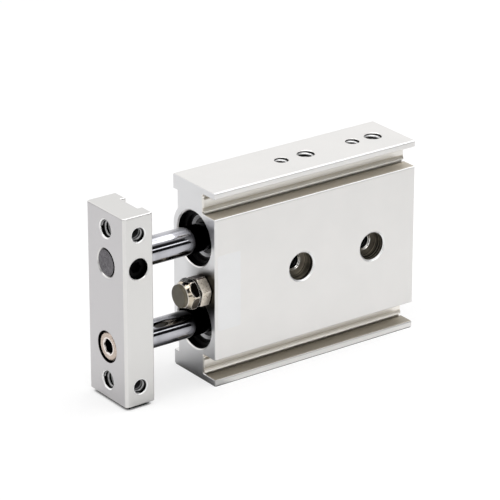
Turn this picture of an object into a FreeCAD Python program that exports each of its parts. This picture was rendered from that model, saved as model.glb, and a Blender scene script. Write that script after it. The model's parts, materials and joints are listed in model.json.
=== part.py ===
import FreeCAD, Part
import math
import os

from FreeCAD import Vector

# Twin-rod pneumatic cylinder with an adjustable return stop, standing on a narrow side, rods out.
# Millimetres. X runs along the rods towards the plate, Y points out of the grooved side, Z is up.
# The origin is the centre of the housing's bottom face.

# Housing extrusion
housing_length = 70.0
housing_width = 20.0
housing_height = 58.0
edge_round = 0.5
end_chamfer = 0.2
far_edge_round = 0.7

# Sensor grooves along the near side, one above the upper bore and one below the lower bore
groove_lip = 2.0
groove_height = 5.8
groove_depth = 5.4
groove_round = 0.9

# Foot of each groove's wall: a sloped toe with a thin slot between it and the ledge
foot_gap = 0.6
foot_reach = 0.45
foot_rise = 0.85
foot_slot_depth = 0.5

# Relief notches along the far side, which follow the wall round each bore
notch_lip = 4.5
notch_depth = 2.3
bore_wall = 2.65

# Bores, rods and stroke
rod_pitch = 25.0
bore_diameter = 15.0
seat_step = 0.5
mouth_chamfer = 0.35
rod_diameter = 8.0
stroke = 10.0
front_seat_depth = 36.2
rear_seat_depth = 5.3

# Clearances: still pieces in their seats, rods and seals that slide, pistons in their bores
seat_fit = 0.02
slide_fit = 0.04
piston_fit = 0.1
end_gap = 0.2

# Retaining rings that hold the covers in the bores
ring_thickness = 1.0
ring_width = 1.5
ring_groove_depth = 0.4
ring_gap = 3.0
ring_ear_radius = 1.3
ring_eye_radius = 0.6
front_recess = 2.4
rear_recess = 1.3

# Rod cover, its seals and the head cover
retainer_thickness = 1.6
retainer_chamfer = 0.9
seal_length = 3.6
seal_section = 2.0
seal_lip_section = 1.1
seal_lip_inset = 0.4
o_ring_section = 1.4
o_ring_side_room = 0.2
cover_o_ring_inset = 6.0
cover_chamfer = 0.4
dish_radius = 5.0
dish_depth = 0.5

# Piston stack: bumper, hub, land, hub, bumper, held on a spigot of the rod by a shaft ring
bumper_length = 4.3
bumper_section = 1.5
hub_diameter = 10.0
hub_length = 2.2
spigot_diameter = 6.0
clip_thickness = 0.8
clip_width = 1.6
clip_groove_depth = 0.4
clip_gap = 2.4
spigot_tail = 0.8
piston_seal_width = 2.0
magnet_width = 3.0
land_groove_depth = 1.8
land_lip = 1.0
magnet_step = 0.25

# Air ports and cross passages
port_inset = 2.3
port_depth = 6.0
passage_diameter = 2.5
port_chamfer = 0.25

# Thread nominal diameters, and the cone that a drill leaves
m4_diameter = 4.0
m5_diameter = 5.0
m6_diameter = 6.0
drill_angle = 118.0
thread_chamfer = 0.25

# Mounting holes of the housing
mount_first = 30.0
mount_spacing = 25.0
mount_thread_depth = 6.0
mount_thread_chamfer = 0.15
through_diameter = 4.3
through_chamfer = 0.5
counterbore_diameter = 8.2
counterbore_depth = 4.4
counterbore_chamfer = 0.5

# End plate
plate_height = 56.0
plate_width = 18.0
plate_thickness = 9.5
plate_return_gap = 9.7
plate_groove_width = 8.0
plate_groove_depth = 1.5
plate_round = 0.6
plate_near_round = 1.0
plate_edge_round = 0.4
plate_thread_spacing = 45.0
plate_side_thread_depth = 5.5
plate_thread_chamfer = 0.4

# Rod ends and the screws that hold them in the plate
rod_chamfer = 0.3
rod_flush_gap = 0.05
rod_hole_chamfer = 0.35
cap_head_diameter = 8.5
cap_head_height = 5.0
cap_head_room = 0.4
cap_head_recess = 0.3
cap_head_round = 0.5
cap_socket = 4.0
cap_socket_depth = 2.5
cap_socket_chamfer = 0.25
cap_clearance_diameter = 5.5
cap_grip = 10.0
rod_thread_depth = 12.0
set_screw_inset = 1.5
set_socket = 3.0
set_socket_depth = 1.8
set_point_chamfer = 0.8

# Stop bolt, lock nut and bumper, between the rods and towards the near side
stop_offset = 4.4
stop_drop = 1.25
hex_flats = 8.0
nut_face = (0.94, 30.0)
nut_height = 3.6
nut_turn = 14.0
head_face = (0.86, 60.0)
head_turn = 4.0
head_height = 3.9
stop_shank = 15.6
stop_hole_depth = 17.5
stop_edge_round = 0.15
stop_bumper_diameter = 6.7
stop_bumper_height = 1.0
stop_bumper_round = 0.2
stop_spigot_diameter = 4.4
stop_spigot_length = 1.6

# Worked out from the sizes above
front_x = housing_length / 2
rear_x = -housing_length / 2
near_y = housing_width / 2
far_y = -housing_width / 2
middle_z = housing_height / 2
bore_radius = bore_diameter / 2
seat_radius = bore_radius + seat_step
ring_groove_radius = seat_radius + ring_groove_depth
rod_radius = rod_diameter / 2
spigot_radius = spigot_diameter / 2
bore_heights = {"upper": middle_z + rod_pitch / 2, "lower": middle_z - rod_pitch / 2}

front_ring_x = front_x - front_recess
retainer_x = front_ring_x - ring_thickness
rod_cover_x = retainer_x - retainer_thickness
chamber_front_x = front_x - front_seat_depth
chamber_rear_x = rear_x + rear_seat_depth
rear_ring_x = rear_x + rear_recess
head_cover_x = rear_ring_x + ring_thickness
port_places = (chamber_front_x - port_inset, chamber_rear_x + port_inset)
mount_places = (front_x - mount_first, front_x - mount_first - mount_spacing)

stack_front_x = chamber_front_x - end_gap
stack_rear_x = chamber_rear_x + end_gap + stroke
land_front_x = stack_front_x - bumper_length
land_rear_x = stack_rear_x + bumper_length
land_radius = bore_radius - piston_fit
hub_radius = hub_diameter / 2
clip_x = land_rear_x - hub_length
rod_tail_x = clip_x - clip_thickness - spigot_tail
shoulder_x = land_front_x + hub_length

plate_rear_x = front_x + plate_return_gap + stroke
plate_front_x = plate_rear_x + plate_thickness
plate_groove_x = plate_rear_x + plate_groove_depth
plate_middle_x = plate_rear_x + plate_thickness / 2
plate_near_y = plate_width / 2
plate_bottom_z = middle_z - plate_height / 2
cap_seat_x = plate_front_x - cap_head_recess - cap_head_height
cap_bore_radius = cap_head_diameter / 2 + cap_head_room
plate_thread_heights = (middle_z + plate_thread_spacing / 2, middle_z - plate_thread_spacing / 2)

stop_z = middle_z - stop_drop
head_x = front_x + nut_height
head_end_x = head_x + head_height
stop_shank_radius = m5_diameter / 2 - slide_fit

along_x = Vector(1, 0, 0)
along_y = Vector(0, 1, 0)
along_z = Vector(0, 0, 1)


# Solid made by turning a closed outline of (x, radius) points about an axis along X.
def turned(outline, y, z):
    points = [Vector(x, y, z + radius) for x, radius in outline]
    face = Part.Face(Part.makePolygon(points + points[:1]))
    return face.revolve(Vector(0, y, z), along_x, 360)


# Plain ring about an axis along X.
def ring(x0, x1, inner, outer, z):
    return turned([(x0, inner), (x0, outer), (x1, outer), (x1, inner)], 0, z)


# Face bounded by straight runs, with a tangent arc at each (corner, radius) that has a radius.
def rounded_face(corners):
    edges = []
    bends = []
    for i, (corner, radius) in enumerate(corners):
        to_last = (corners[i - 1][0] - corner).normalize()
        to_next = (corners[(i + 1) % len(corners)][0] - corner).normalize()
        half_angle = to_last.getAngle(to_next) / 2
        reach = radius / math.tan(half_angle)
        inward = (to_last + to_next).normalize()
        crest = corner + inward * (radius / math.sin(half_angle) - radius)
        bends.append((corner + to_last * reach, crest, corner + to_next * reach, radius))
    for i, (start, crest, end, radius) in enumerate(bends):
        if radius > 0:
            edges.append(Part.Arc(start, crest, end).toShape())
        edges.append(Part.LineSegment(end, bends[(i + 1) % len(bends)][0]).toShape())
    return Part.Face(Part.Wire(edges))


# Hole drilled from a mouth point along a direction: chamfer, straight wall and drill cone.
def drilled(mouth, direction, radius, depth, chamfer):
    tip = radius / math.tan(math.radians(drill_angle / 2))
    wall = Part.makeCylinder(radius, depth, mouth, direction)
    cone = Part.makeCone(radius, 0, tip, mouth + direction * depth, direction)
    lip = Part.makeCone(radius + chamfer, radius, chamfer, mouth, direction)
    return wall.fuse([cone, lip])


# Six-sided prism along a direction from a base point; turn lifts its first corner, in degrees.
def hexagon(base, direction, length, flats, turn):
    side = along_z.cross(direction)
    corner_radius = flats / math.sqrt(3)
    points = []
    for k in range(6):
        angle = math.radians(turn + 60 * k)
        points.append(base + (side * math.cos(angle) + along_z * math.sin(angle)) * corner_radius)
    face = Part.Face(Part.makePolygon(points + points[:1]))
    return face.extrude(direction * length)


# Hexagon along X at the stop's axis, its corners turned off at both ends. Each end is a pair: the radius of
# its round face as a share of half the flats, and the chamfer's angle from that face in degrees.
def turned_hexagon(x0, x1, turn, back, front):
    corner_radius = hex_flats / math.sqrt(3)
    back_radius = hex_flats / 2 * back[0]
    front_radius = hex_flats / 2 * front[0]
    back_drop = (corner_radius - back_radius) * math.tan(math.radians(back[1]))
    front_drop = (corner_radius - front_radius) * math.tan(math.radians(front[1]))
    outline = [
        (x0, 0),
        (x0, back_radius),
        (x0 + back_drop, corner_radius),
        (x1 - front_drop, corner_radius),
        (x1, front_radius),
        (x1, 0),
    ]
    prism = hexagon(Vector(x0, stop_offset, stop_z), along_x, x1 - x0, hex_flats, turn)
    body = prism.common(turned(outline, stop_offset, stop_z))
    rims = [edge for edge in body.Edges if edge.BoundBox.XLength > stop_edge_round]
    return body.makeFillet(stop_edge_round, rims)


# Corners of a groove from its lower lip to its upper lip: ledge, slot, toe and wall, then the same mirrored.
def groove_corners(lip_z):
    wall_y = near_y - groove_depth
    slot_y = wall_y - foot_slot_depth
    foot = [
        (near_y, 0, edge_round),
        (slot_y, 0, 0),
        (slot_y, foot_gap, 0),
        (wall_y + foot_reach, foot_gap, 0),
        (wall_y, foot_gap + foot_rise, groove_round),
    ]
    lower = [(y, lip_z + rise, radius) for y, rise, radius in foot]
    upper = [(y, lip_z + groove_height - rise, radius) for y, rise, radius in reversed(foot)]
    return lower + upper


# Housing: rounded extrusion with grooves and notches, then the bores, holes, ports and passages.
def make_housing():
    corners = [(far_y, 0, far_edge_round), (near_y, 0, edge_round)]
    corners += groove_corners(groove_lip)
    corners += groove_corners(housing_height - groove_lip - groove_height)
    corners += [(near_y, housing_height, edge_round), (far_y, housing_height, far_edge_round)]
    section = rounded_face([(Vector(rear_x, y, z), radius) for y, z, radius in corners])
    body = section.extrude(along_x * housing_length)

    end_edges = [edge for edge in body.Edges if edge.BoundBox.XLength < end_chamfer]
    body = body.makeChamfer(end_chamfer, end_edges)

    notch_height = housing_height - notch_lip - bore_heights["upper"]
    for side, low_z in (("upper", bore_heights["upper"]), ("lower", notch_lip)):
        block = Part.makeBox(housing_length, notch_depth, notch_height, Vector(rear_x, far_y, low_z))
        axis_start = Vector(rear_x, 0, bore_heights[side])
        wall = Part.makeCylinder(bore_radius + bore_wall, housing_length, axis_start, along_x)
        body = body.cut(block.cut(wall))

    cuts = []
    for z in bore_heights.values():
        bore = [
            (front_x, 0),
            (front_x, seat_radius + mouth_chamfer),
            (front_x - mouth_chamfer, seat_radius),
            (front_ring_x, seat_radius),
            (front_ring_x, ring_groove_radius),
            (retainer_x, ring_groove_radius),
            (retainer_x, seat_radius),
            (chamber_front_x, seat_radius),
            (chamber_front_x, bore_radius),
            (chamber_rear_x, bore_radius),
            (chamber_rear_x, seat_radius),
            (head_cover_x, seat_radius),
            (head_cover_x, ring_groove_radius),
            (rear_ring_x, ring_groove_radius),
            (rear_ring_x, seat_radius),
            (rear_x + mouth_chamfer, seat_radius),
            (rear_x, seat_radius + mouth_chamfer),
            (rear_x, 0),
        ]
        cuts.append(turned(bore, 0, z))
    for x in mount_places:
        for y, direction in ((near_y, -along_y), (far_y, along_y)):
            mouth = Vector(x, y, middle_z)
            radius = counterbore_diameter / 2
            cuts.append(Part.makeCylinder(radius, counterbore_depth, mouth, direction))
            lip_radius = radius + counterbore_chamfer
            cuts.append(Part.makeCone(lip_radius, radius, counterbore_chamfer, mouth, direction))
            step = mouth + direction * counterbore_depth
            wall = through_diameter / 2
            cuts.append(Part.makeCone(wall + through_chamfer, wall, through_chamfer, step, direction))
        far_end = Vector(x, far_y, middle_z)
        cuts.append(Part.makeCylinder(through_diameter / 2, housing_width, far_end, along_y))
        for z, direction in ((housing_height, -along_z), (0, along_z)):
            mouth = Vector(x, 0, z)
            cuts.append(drilled(mouth, direction, m4_diameter / 2, mount_thread_depth, mount_thread_chamfer))
    for x in port_places:
        mouth = Vector(x, 0, housing_height)
        cuts.append(drilled(mouth, -along_z, m5_diameter / 2, port_depth, port_chamfer))
        passage_length = housing_height - bore_heights["lower"]
        cuts.append(Part.makeCylinder(passage_diameter / 2, passage_length, mouth, -along_z))
    stop_mouth = Vector(front_x, stop_offset, stop_z)
    cuts.append(drilled(stop_mouth, -along_x, m5_diameter / 2, stop_hole_depth, thread_chamfer))
    return body.cut(cuts)


# Rod cover: a turned bearing with a pocket for the rod seal and a groove for its O-ring.
def make_rod_cover(z):
    outer = seat_radius - seat_fit
    inner = rod_radius + slide_fit
    pocket = rod_radius + seal_section
    floor = outer - o_ring_section
    groove_x0 = chamber_front_x + cover_o_ring_inset
    groove_x1 = groove_x0 + o_ring_section + 2 * o_ring_side_room
    outline = [
        (chamber_front_x, inner),
        (chamber_front_x, outer - cover_chamfer),
        (chamber_front_x + cover_chamfer, outer),
        (groove_x0, outer),
        (groove_x0, floor),
        (groove_x1, floor),
        (groove_x1, outer),
        (rod_cover_x, outer),
        (rod_cover_x, pocket),
        (rod_cover_x - seal_length, pocket),
        (rod_cover_x - seal_length, inner),
    ]
    return turned(outline, 0, z)


# O-ring whose groove starts at x, seated against the wall of the cover seat.
def make_o_ring(x, z):
    radius = o_ring_section / 2 - seat_fit
    middle = x + o_ring_section / 2 + o_ring_side_room
    return Part.makeTorus(seat_radius - o_ring_section / 2, radius, Vector(middle, 0, z), along_x)


# Rod seal: a ring in the cover's pocket with a narrower lip that shows inside the retainer.
def make_rod_seal(z):
    inner = rod_radius + slide_fit
    outer = rod_radius + seal_section - seat_fit
    lip = rod_radius + seal_lip_section
    outline = [
        (rod_cover_x - seal_length, inner),
        (rod_cover_x - seal_length, outer),
        (rod_cover_x, outer),
        (rod_cover_x, lip),
        (retainer_x - seal_lip_inset, lip),
        (retainer_x - seal_lip_inset, inner),
    ]
    return turned(outline, 0, z)


# Seal retainer: a ring between the rod cover and the retaining ring, chamfered towards the rod.
def make_seal_retainer(z):
    hole = rod_radius + seal_lip_section + seat_fit
    outer = seat_radius - seat_fit
    outline = [
        (rod_cover_x, hole),
        (rod_cover_x, outer),
        (retainer_x, outer),
        (retainer_x, hole + retainer_chamfer),
        (retainer_x - retainer_chamfer, hole),
    ]
    return turned(outline, 0, z)


# Retaining ring for a bore: open ring with an ear and a pliers eye on each side of its gap.
def make_retaining_ring(x, z):
    outer = ring_groove_radius - seat_fit
    inner = outer - ring_width
    ear_offset = ring_gap / 2 + ring_ear_radius
    ear_reach = math.sqrt(inner ** 2 - ear_offset ** 2)
    gap = Part.makeBox(ring_thickness, outer, ring_gap, Vector(x, 0, z - ring_gap / 2))
    body = ring(x, x + ring_thickness, inner, outer, z)
    for side in (-1, 1):
        place = Vector(x, ear_reach, z + side * ear_offset)
        body = body.fuse(Part.makeCylinder(ring_ear_radius, ring_thickness, place, along_x))
    body = body.cut(gap)
    for side in (-1, 1):
        place = Vector(x, ear_reach, z + side * ear_offset)
        body = body.cut(Part.makeCylinder(ring_eye_radius, ring_thickness, place, along_x))
    return body


# Head cover: a turned disc with a groove for its O-ring and a shallow dish at the back.
def make_head_cover(z):
    outer = seat_radius - seat_fit
    floor = outer - o_ring_section
    groove_x0 = head_cover_groove_x()
    groove_x1 = groove_x0 + o_ring_section + 2 * o_ring_side_room
    outline = [
        (head_cover_x + dish_depth, 0),
        (head_cover_x + dish_depth, dish_radius - dish_depth),
        (head_cover_x, dish_radius),
        (head_cover_x, outer),
        (groove_x0, outer),
        (groove_x0, floor),
        (groove_x1, floor),
        (groove_x1, outer),
        (chamber_rear_x, outer),
        (chamber_rear_x, 0),
    ]
    return turned(outline, 0, z)


# The head cover's O-ring groove lies in the middle of the cover.
def head_cover_groove_x():
    middle = (head_cover_x + chamber_rear_x) / 2
    return middle - o_ring_section / 2 - o_ring_side_room


# Piston: land with a seal groove and a magnet groove, and a hub at each end for the bumpers.
def make_piston(z):
    inner = spigot_radius + seat_fit
    floor = land_radius - land_groove_depth
    seal_x = land_front_x - land_lip
    magnet_x = land_rear_x + land_lip + magnet_width
    outline = [
        (shoulder_x, inner),
        (shoulder_x, hub_radius),
        (land_front_x, hub_radius),
        (land_front_x, land_radius),
        (seal_x, land_radius),
        (seal_x, floor),
        (seal_x - piston_seal_width, floor),
        (seal_x - piston_seal_width, land_radius),
        (magnet_x, land_radius),
        (magnet_x, floor),
        (magnet_x - magnet_width, floor),
        (magnet_x - magnet_width, land_radius),
        (land_rear_x, land_radius),
        (land_rear_x, hub_radius),
        (clip_x, hub_radius),
        (clip_x, inner),
    ]
    return turned(outline, 0, z)


# Piston seal: a ring that narrows to a lip at the bore wall.
def make_piston_seal(z):
    x0 = land_front_x - land_lip - piston_seal_width + seat_fit
    x1 = land_front_x - land_lip - seat_fit
    narrow = piston_seal_width / 5
    inner = land_radius - land_groove_depth + seat_fit
    lip = bore_radius - slide_fit
    outline = [(x0, inner), (x0, land_radius - narrow), (x0 + narrow, lip), (x1 - narrow, lip),
               (x1, land_radius - narrow), (x1, inner)]
    return turned(outline, 0, z)


# Magnet: a plain ring that stays below the piston's land.
def make_magnet(z):
    x0 = land_rear_x + land_lip + seat_fit
    x1 = land_rear_x + land_lip + magnet_width - seat_fit
    floor = land_radius - land_groove_depth + seat_fit
    return ring(x0, x1, floor, land_radius - magnet_step, z)


# Bumper: a ring on a hub of the piston, from the land to beyond the hub.
def make_bumper(x0, x1, z):
    inner = hub_radius + seat_fit
    return ring(x0, x1, inner, inner + bumper_section, z)


# Shaft ring in the groove of the rod's spigot, open on one side.
def make_clip(z):
    inner = spigot_radius - clip_groove_depth + seat_fit
    outer = inner + clip_width
    body = ring(clip_x - clip_thickness, clip_x, inner, outer, z)
    low = Vector(clip_x - clip_thickness, 0, z - clip_gap / 2)
    return body.cut(Part.makeBox(clip_thickness, outer, clip_gap, low))


# Rod outline from its front end to the tail of the spigot that carries the piston.
def rod_outline(front):
    groove_x1 = clip_x
    groove_x0 = clip_x - clip_thickness
    groove_radius = spigot_radius - clip_groove_depth
    return [
        (front, 0),
        (front, rod_radius - rod_chamfer),
        (front - rod_chamfer, rod_radius),
        (shoulder_x, rod_radius),
        (shoulder_x, spigot_radius),
        (groove_x1, spigot_radius),
        (groove_x1, groove_radius),
        (groove_x0, groove_radius),
        (groove_x0, spigot_radius),
        (rod_tail_x + rod_chamfer, spigot_radius),
        (rod_tail_x, spigot_radius - rod_chamfer),
        (rod_tail_x, 0),
    ]


# Lower rod: its front end seats on the floor of the plate's groove and is tapped for the cap screw.
def make_lower_rod(z):
    rod = turned(rod_outline(plate_groove_x), 0, z)
    mouth = Vector(plate_groove_x, 0, z)
    return rod.cut(drilled(mouth, -along_x, m5_diameter / 2, rod_thread_depth, thread_chamfer))


# Plate: upright bar with a groove down its back, rod holes, tapped holes and a counterbore.
def make_plate():
    half_groove = plate_groove_width / 2
    corners = [
        (plate_rear_x, -plate_near_y, plate_round),
        (plate_front_x, -plate_near_y, plate_round),
        (plate_front_x, plate_near_y, plate_near_round),
        (plate_rear_x, plate_near_y, plate_round),
        (plate_rear_x, half_groove, 0),
        (plate_groove_x, half_groove, 0),
        (plate_groove_x, -half_groove, 0),
        (plate_rear_x, -half_groove, 0),
    ]
    section = rounded_face([(Vector(x, y, plate_bottom_z), radius) for x, y, radius in corners])
    body = section.extrude(along_z * plate_height)
    rim = [edge for edge in body.Edges if edge.BoundBox.ZLength < plate_edge_round]
    body = body.makeFillet(plate_edge_round, rim)

    upper_z = bore_heights["upper"]
    lower_z = bore_heights["lower"]
    through = plate_thickness
    cap_seat = Vector(cap_seat_x, 0, lower_z)
    clamp_mouth = Vector(plate_middle_x, plate_near_y, upper_z)
    clamp_depth = plate_near_y - rod_radius
    rod_hole = rod_radius + seat_fit
    rod_lip = Vector(plate_front_x, 0, upper_z)
    cuts = [
        Part.makeCylinder(rod_hole, through, Vector(plate_rear_x, 0, upper_z), along_x),
        Part.makeCone(rod_hole + rod_hole_chamfer, rod_hole, rod_hole_chamfer, rod_lip, -along_x),
        Part.makeCylinder(cap_clearance_diameter / 2, through, Vector(plate_rear_x, 0, lower_z), along_x),
        Part.makeCylinder(cap_bore_radius, plate_front_x - cap_seat_x, cap_seat, along_x),
        drilled(clamp_mouth, -along_y, m6_diameter / 2, clamp_depth, thread_chamfer),
    ]
    wall = m5_diameter / 2
    for z in plate_thread_heights:
        cuts.append(Part.makeCylinder(wall, through, Vector(plate_rear_x, 0, z), along_x))
        lip = Vector(plate_front_x, 0, z)
        cuts.append(Part.makeCone(wall + plate_thread_chamfer, wall, plate_thread_chamfer, lip, -along_x))
        mouth = Vector(plate_middle_x, plate_near_y, z)
        cuts.append(drilled(mouth, -along_y, m4_diameter / 2, plate_side_thread_depth, thread_chamfer))
    return body.cut(cuts)


# Cap screw: head in the plate's counterbore, shank through the plate into the lower rod.
def make_cap_screw(z):
    head_radius = cap_head_diameter / 2
    shank = m5_diameter / 2 - seat_fit
    top = cap_seat_x + cap_head_height
    tip = plate_groove_x - cap_grip
    outline = [
        (tip, 0),
        (tip, shank - thread_chamfer),
        (tip + thread_chamfer, shank),
        (cap_seat_x, shank),
        (cap_seat_x, head_radius),
        (top - cap_head_round, head_radius),
        (top, head_radius - cap_head_round),
        (top, 0),
    ]
    mouth = Vector(top, 0, z)
    socket = hexagon(mouth, -along_x, cap_socket_depth, cap_socket, 0)
    flat_radius = cap_socket / 2
    lead = Part.makeCone(flat_radius + cap_socket_chamfer, flat_radius, cap_socket_chamfer, mouth, -along_x)
    return turned(outline, 0, z).cut([socket, lead])


# Set screw: from inside the plate's near side to the upper rod, which it clamps.
def make_set_screw(z):
    radius = m6_diameter / 2 - seat_fit
    outer_y = plate_near_y - set_screw_inset
    inner_y = rod_radius + seat_fit
    length = outer_y - inner_y
    mouth = Vector(plate_middle_x, outer_y, z)
    wall = Part.makeCylinder(radius, length - set_point_chamfer, mouth, -along_y)
    point_base = mouth - along_y * (length - set_point_chamfer)
    point = Part.makeCone(radius, radius - set_point_chamfer, set_point_chamfer, point_base, -along_y)
    socket = hexagon(mouth, -along_y, set_socket_depth, set_socket, 0)
    return wall.fuse(point).cut(socket)


# Lock nut: hexagon chamfered on both sides, against the housing's front face.
def make_lock_nut():
    body = turned_hexagon(front_x, head_x, nut_turn, nut_face, nut_face)
    hole = Part.makeCylinder(m5_diameter / 2, nut_height, Vector(front_x, stop_offset, stop_z), along_x)
    return body.cut(hole)


# Stop bolt: shank in the housing, hexagon head against the nut, a recess in its end for the bumper.
def make_stop_bolt():
    head = turned_hexagon(head_x + end_gap / 2, head_end_x, head_turn, nut_face, head_face)
    shank_end = head_x - stop_shank
    outline = [
        (shank_end, 0),
        (shank_end, stop_shank_radius - thread_chamfer),
        (shank_end + thread_chamfer, stop_shank_radius),
        (head_x + end_gap / 2, stop_shank_radius),
        (head_x + end_gap / 2, 0),
    ]
    bolt = head.fuse(turned(outline, stop_offset, stop_z))
    recess = Part.makeCylinder(
        stop_spigot_diameter / 2 + slide_fit,
        stop_spigot_length + slide_fit,
        Vector(head_end_x, stop_offset, stop_z),
        -along_x,
    )
    return bolt.cut(recess)


# Stop bumper: a soft disc with a spigot that sits in the bolt's recess.
def make_stop_bumper():
    base = head_end_x + slide_fit
    top = head_end_x + stop_bumper_height
    radius = stop_bumper_diameter / 2
    outline = [
        (head_end_x - stop_spigot_length, 0),
        (head_end_x - stop_spigot_length, stop_spigot_diameter / 2),
        (base, stop_spigot_diameter / 2),
        (base, radius),
        (top - stop_bumper_round, radius),
        (top, radius - stop_bumper_round),
        (top, 0),
    ]
    return turned(outline, stop_offset, stop_z)


nodes = {
    "housing": make_housing(),
    "plate": make_plate(),
    "piston_rod_upper": turned(rod_outline(plate_front_x - rod_flush_gap), 0, bore_heights["upper"]),
    "piston_rod_lower": make_lower_rod(bore_heights["lower"]),
    "plate_cap_screw": make_cap_screw(bore_heights["lower"]),
    "plate_set_screw": make_set_screw(bore_heights["upper"]),
    "lock_nut": make_lock_nut(),
    "stop_bolt": make_stop_bolt(),
    "stop_bumper": make_stop_bumper(),
}
for side, z in bore_heights.items():
    nodes["rod_cover_" + side] = make_rod_cover(z)
    nodes["rod_cover_o_ring_" + side] = make_o_ring(chamber_front_x + cover_o_ring_inset, z)
    nodes["rod_seal_" + side] = make_rod_seal(z)
    nodes["seal_retainer_" + side] = make_seal_retainer(z)
    nodes["front_retaining_ring_" + side] = make_retaining_ring(retainer_x, z)
    nodes["head_cover_" + side] = make_head_cover(z)
    nodes["head_cover_o_ring_" + side] = make_o_ring(head_cover_groove_x(), z)
    nodes["rear_retaining_ring_" + side] = make_retaining_ring(rear_ring_x, z)
    nodes["piston_" + side] = make_piston(z)
    nodes["piston_seal_" + side] = make_piston_seal(z)
    nodes["piston_magnet_" + side] = make_magnet(z)
    nodes["front_bumper_" + side] = make_bumper(land_front_x, stack_front_x, z)
    nodes["rear_bumper_" + side] = make_bumper(stack_rear_x, land_rear_x, z)
    nodes["piston_clip_" + side] = make_clip(z)

os.makedirs("parts", exist_ok=True)
for name, shape in nodes.items():
    shape.exportStep("parts/" + name + ".step")
    print(name, len(shape.Solids), round(shape.Volume, 2), shape.isValid())
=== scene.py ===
import json
import math
import bpy
import numpy as np
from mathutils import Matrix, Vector


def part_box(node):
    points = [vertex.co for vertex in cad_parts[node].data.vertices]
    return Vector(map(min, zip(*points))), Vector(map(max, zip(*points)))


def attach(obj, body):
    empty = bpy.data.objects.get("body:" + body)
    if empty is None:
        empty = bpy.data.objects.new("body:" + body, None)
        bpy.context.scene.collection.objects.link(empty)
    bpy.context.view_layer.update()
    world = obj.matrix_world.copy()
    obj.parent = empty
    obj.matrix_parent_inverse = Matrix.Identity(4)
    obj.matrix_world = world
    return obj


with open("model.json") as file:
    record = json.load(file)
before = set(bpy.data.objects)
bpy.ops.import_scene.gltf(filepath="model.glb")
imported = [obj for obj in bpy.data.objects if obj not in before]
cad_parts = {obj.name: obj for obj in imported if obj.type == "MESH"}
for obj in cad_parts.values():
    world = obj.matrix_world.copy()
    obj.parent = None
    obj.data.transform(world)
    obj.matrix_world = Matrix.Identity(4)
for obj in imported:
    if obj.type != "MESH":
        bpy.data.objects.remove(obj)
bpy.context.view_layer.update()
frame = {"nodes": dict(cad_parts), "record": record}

# Twin-rod pneumatic cylinder, standing on a narrow side with its rods out.
# Blender works in metres; sizes below are in millimetres and go through mm.
mm = 0.001
nodes = frame["nodes"]
mounts = {mount["name"]: mount for mount in frame["record"]["mounts"]}
print("frame:", len(nodes), "nodes,", len(mounts), "mounts")


# sRGB hex text to the linear colour that shaders take
def linearColour(code):
    part = np.array([int(code[i:i + 2], 16) for i in (1, 3, 5)]) / 255
    linear = np.where(part <= 0.04045, part / 12.92, ((part + 0.055) / 1.055) ** 2.4)
    return (*linear.tolist(), 1.0)


# One node with its settings. An input is a constant, an sRGB code, an output, or a node whose first live
# output is taken. A Mix node's sockets are 0 for the share, 2 and 3 for numbers, 6 and 7 for colours.
def addNode(tree, kind, inputs=None, **settings):
    node = tree.nodes.new("ShaderNode" + kind)
    for field, value in settings.items():
        setattr(node, field, value)
    for socket, value in (inputs or {}).items():
        if isinstance(value, str):
            value = linearColour(value)
        if isinstance(value, bpy.types.Node):
            value = next(output for output in value.outputs if output.enabled)
        if isinstance(value, bpy.types.NodeSocket):
            tree.links.new(value, node.inputs[socket])
        else:
            node.inputs[socket].default_value = value
    return node


# the span of values that becomes 0 to 1, as a MapRange node takes it
def fromSpan(span):
    return {"From Min": span[0], "From Max": span[1]}


# the span of values that 0 to 1 becomes
def toSpan(span):
    return {"To Min": span[0], "To Max": span[1]}


# a material whose node tree is still empty
def emptyMaterial(name):
    material = bpy.data.materials.new(name)
    material.use_nodes = True
    material.node_tree.nodes.clear()
    return material, material.node_tree


# ends a material's tree with one Principled shader that takes the inputs given
def closeMaterial(tree, inputs):
    shader = addNode(tree, "BsdfPrincipled", inputs)
    addNode(tree, "OutputMaterial", {"Surface": shader})


# the surface point in millimetres, from Object coordinates
def pointInMm(tree):
    place = addNode(tree, "TexCoord").outputs["Object"]
    return addNode(tree, "VectorMath", {0: place, "Scale": 1 / mm}, operation="SCALE")


# cloudy value from 0 to 1 whose patches are about size mm across; stretch squeezes it along X, Y and Z
def cloud(tree, point, size, detail=2.0, stretch=(1, 1, 1)):
    squeezed = addNode(tree, "VectorMath", {0: point, 1: stretch}, operation="MULTIPLY")
    return addNode(tree, "TexNoise", {"Vector": squeezed, "Scale": 1 / size, "Detail": detail})


# 1 inside round holes, each a cylinder given by its middle, axis, radius and half length in mm, else 0
def insideHoles(tree, point, holes):
    total = None
    for hole in holes:
        axis = np.array(hole["axis"], float)
        offset = addNode(tree, "VectorMath", {0: point, 1: hole["middle"]}, operation="SUBTRACT")
        across = addNode(tree, "VectorMath", {0: offset, 1: tuple(1 - axis)}, operation="MULTIPLY")
        along = addNode(tree, "VectorMath", {0: offset, 1: tuple(axis)}, operation="DOT_PRODUCT")
        reach = addNode(tree, "VectorMath", {0: across}, operation="LENGTH")
        near = addNode(tree, "Math", {0: reach, 1: hole["radius"]}, operation="LESS_THAN")
        held = addNode(tree, "Math", {0: along, 1: 0.0, 2: hole["half"]}, operation="COMPARE")
        mask = addNode(tree, "Math", {0: near, 1: held}, operation="MULTIPLY")
        if total is not None:
            mask = addNode(tree, "Math", {0: total, 1: mask}, operation="MAXIMUM")
        total = mask
    return total


# holes of one size at several places, for insideHoles
def holesAt(places, axis, radius, half):
    return [{"middle": tuple(place), "axis": axis, "radius": radius, "half": half} for place in places]


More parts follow.
